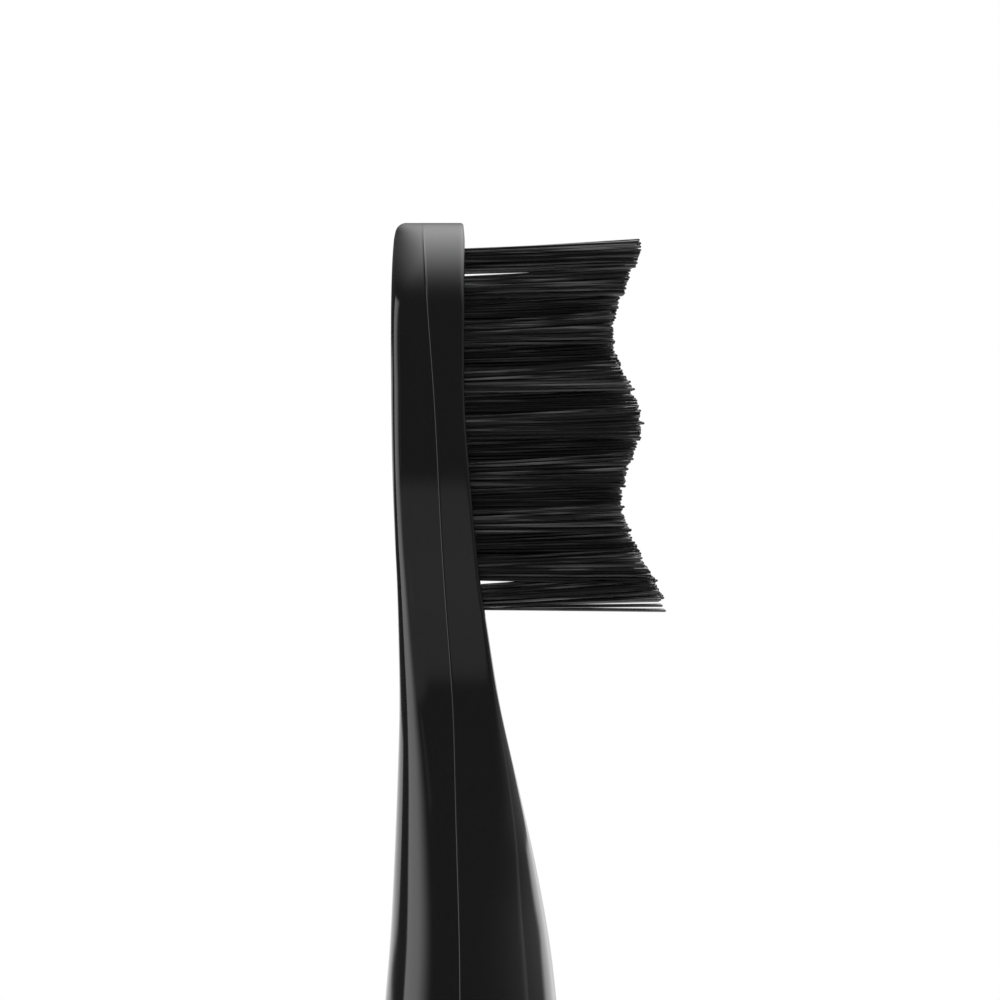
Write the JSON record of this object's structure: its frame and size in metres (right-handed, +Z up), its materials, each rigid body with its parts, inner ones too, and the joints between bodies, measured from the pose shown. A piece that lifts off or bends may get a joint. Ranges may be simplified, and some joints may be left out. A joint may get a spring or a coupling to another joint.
{
  "type": "electric toothbrush on charger",
  "caption": "Slim sonic toothbrush with a clip-on brush head and a push button, standing in the well of a round inductive charger.",
  "frame": {"origin": "centre of the charger's footprint, on the surface that it stands on", "axes": "+Z up along the handle and the drive shaft, +X the way the bristles, the power button and the indicator window face, +Y to the left of someone who looks along +X"},
  "size_m": [0.064, 0.064, 0.2593],
  "materials": {
    "black_gloss": "injection-moulded, high gloss",
    "handle_black": "moulded, satin gloss",
    "base_black": "fine moulded texture",
    "bristle": "drawn nylon filament",
    "soft_rubber": "matt silicone",
    "collar_metal": "satin, anodised",
    "ring_grey": "gloss",
    "button_black": "soft-touch rubber",
    "window_smoke": "smoked, translucent",
    "led_white": "clear resin",
    "white_resin": "acetal",
    "frame_resin": "glass-filled nylon",
    "dark_resin": "moulded epoxy",
    "board_green": "solder mask over glass-epoxy",
    "copper": "enamelled wire",
    "ferrite": "sintered",
    "core_steel": "laminated",
    "steel": "ground",
    "bearing_bronze": "sintered bronze",
    "cell_wrap": "shrink-wrapped",
    "nickel": "nickel strip"
  },
  "bodies": {
    "charger": {"charger_top": "black_gloss", "charger_base": "base_black", "rubber_foot": "soft_rubber", "charger_screws": "steel", "charger_board": "board_green", "primary_coil": "copper", "ferrite_rod": "ferrite", "inlet_shell": "steel", "inlet_tongue": "dark_resin"},
    "handle": {"handle_housing": "handle_black", "collar_ring": "collar_metal", "shaft_seal": "soft_rubber", "bottom_cap": "handle_black", "cap_seal": "soft_rubber", "receiver_coil": "copper", "chassis": "frame_resin", "battery_cell": "cell_wrap", "battery_tabs": "nickel", "circuit_board": "board_green", "board_chips": "dark_resin", "indicator_leds": "led_white", "indicator_window": "window_smoke", "switch_body": "dark_resin", "button_seal": "soft_rubber", "motor_can": "steel", "motor_front_plate": "steel", "motor_rear_plate": "steel", "upper_bearing": "bearing_bronze", "lower_bearing": "bearing_bronze", "stator_core": "core_steel", "stator_coils": "copper", "front_damper": "soft_rubber", "rear_damper": "soft_rubber", "flat_leads": "copper"},
    "rotor": {"drive_shaft": "steel", "rotor_core": "core_steel", "rotor_magnets": "ferrite", "shaft_circlip": "steel"},
    "button": {"power_button": "button_black", "switch_plunger": "white_resin"},
    "brush_head": {"head_shell": "black_gloss", "shaft_socket": "white_resin", "retaining_clip": "steel", "base_ring": "ring_grey", "tuft_anchors": "bearing_bronze", "tuft_row_1": "bristle", "tuft_row_2": "bristle", "tuft_row_3": "bristle", "tuft_row_4": "bristle", "tuft_row_5": "bristle", "tuft_row_6": "bristle", "tuft_row_7": "bristle", "tuft_row_8": "bristle", "tuft_row_9": "bristle", "tuft_row_10": "bristle", "tuft_row_11": "bristle", "tuft_row_12": "bristle", "tuft_row_13": "bristle", "tuft_row_14": "bristle", "tuft_row_15": "bristle"}
  },
  "joints": [
    {"name": "handle_lift", "type": "slide", "parent": "charger", "child": "handle", "axis": [0, 0, 1], "range_m": [0, 0.04]},
    {"name": "shaft_oscillation", "type": "hinge", "parent": "handle", "child": "rotor", "pos_m": [0, 0, 0.16], "axis": [0, 0, 1], "range_deg": [-4.5, 4.5], "stiffness_Nm_per_rad": 0.06},
    {"name": "head_pull_off", "type": "slide", "parent": "rotor", "child": "brush_head", "axis": [0, 0, 1], "range_m": [0, 0.03]},
    {"name": "button_press", "type": "slide", "parent": "handle", "child": "button", "axis": [-1, 0, 0], "range_m": [0, 0.00035], "stiffness_N_per_m": 1500}
  ]
}
